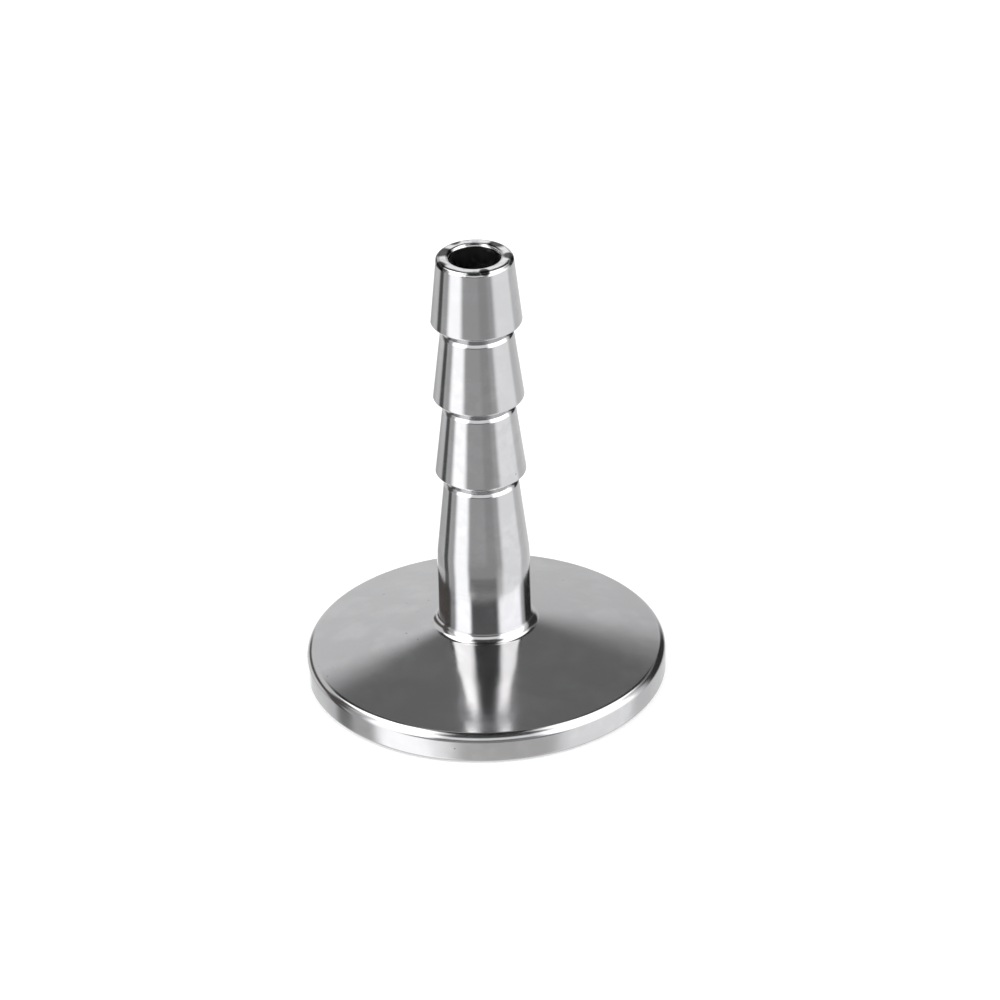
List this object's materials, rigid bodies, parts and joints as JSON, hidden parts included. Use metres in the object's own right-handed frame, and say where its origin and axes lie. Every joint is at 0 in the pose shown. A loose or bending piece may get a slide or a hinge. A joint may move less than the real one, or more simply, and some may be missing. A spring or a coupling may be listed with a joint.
{
  "type": "sanitary clamp hose barb",
  "caption": "Hose barb on a round sanitary clamp flange: joins a flexible hose to a clamped tube end.",
  "frame": {"origin": "middle of the sealing face, where the bore's axis meets it", "axes": "+Z along the bore, from the sealing face towards the mouth; X and Y are free, because the part is round"},
  "size_m": [0.0506, 0.0504, 0.0655],
  "materials": {
    "stainless": "turned and polished stainless steel"
  },
  "bodies": {
    "root": {"clamp_hose_barb": "stainless"}
  },
  "joints": []
}
